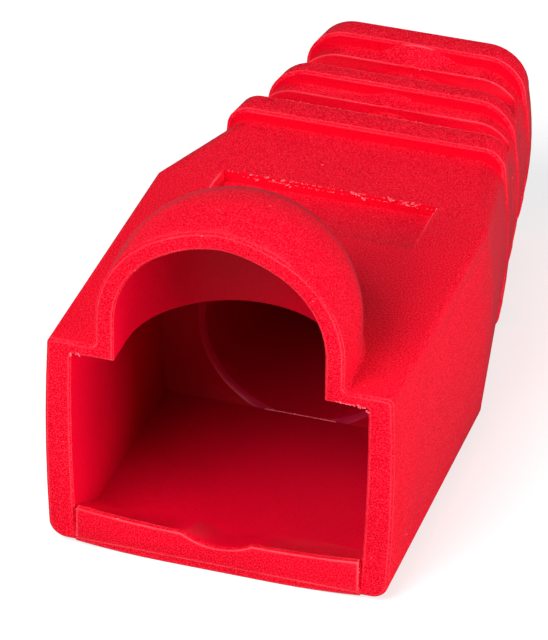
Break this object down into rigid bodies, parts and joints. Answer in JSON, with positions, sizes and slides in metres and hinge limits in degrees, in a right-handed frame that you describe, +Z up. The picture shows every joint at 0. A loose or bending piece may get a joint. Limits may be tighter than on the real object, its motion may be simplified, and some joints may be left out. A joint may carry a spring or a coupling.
{
  "type": "rj45 strain relief boot",
  "caption": "Moulded boot for a modular network plug: open mouth with a low lip, arched hood over the latch, tapering body and a ribbed flexible tail with a cable bore.",
  "frame": {"origin": "middle of the underside, at the height of the flat strip the part rests on", "axes": "+Z up through the hood, +Y along the cable from the mouth towards the tail, +X across the width"},
  "size_m": [0.0146, 0.0288, 0.0159],
  "materials": {
    "red_pvc": "satin, fine moulded grain, flexible red PVC"
  },
  "bodies": {
    "root": {"strain_relief_boot": "red_pvc"}
  },
  "joints": []
}
